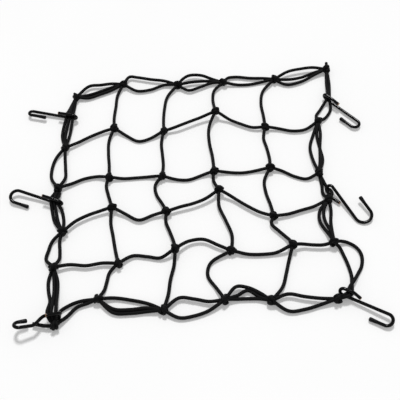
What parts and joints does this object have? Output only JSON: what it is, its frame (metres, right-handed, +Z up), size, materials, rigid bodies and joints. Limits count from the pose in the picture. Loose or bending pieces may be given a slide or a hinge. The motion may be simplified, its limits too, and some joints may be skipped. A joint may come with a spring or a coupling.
{
  "type": "knotted elastic cargo net with hooks",
  "caption": "Square cargo net of knotted elastic cord lying slack on a flat surface, with coated wire J hooks along its side borders.",
  "frame": {"origin": "middle of the whole object's outline on the surface that it lies on", "axes": "+X to the right along the net's rows of cord, from the left hooks to the right hooks; +Y from the front border to the back border; +Z up"},
  "size_m": [0.4987, 0.4587, 0.0219],
  "materials": {
    "cord": "black woven sheath over elastic",
    "wire": "glossy black coat",
    "cap": "soft gloss black dip"
  },
  "bodies": {
    "root": {"net": "cord", "hook_back_left": "wire", "cap_back_left": "cap", "hook_mid_left": "wire", "cap_mid_left": "cap", "hook_front_left": "wire", "cap_front_left": "cap", "hook_back_right": "wire", "cap_back_right": "cap", "hook_mid_right": "wire", "cap_mid_right": "cap", "hook_front_right": "wire", "cap_front_right": "cap"}
  },
  "joints": []
}
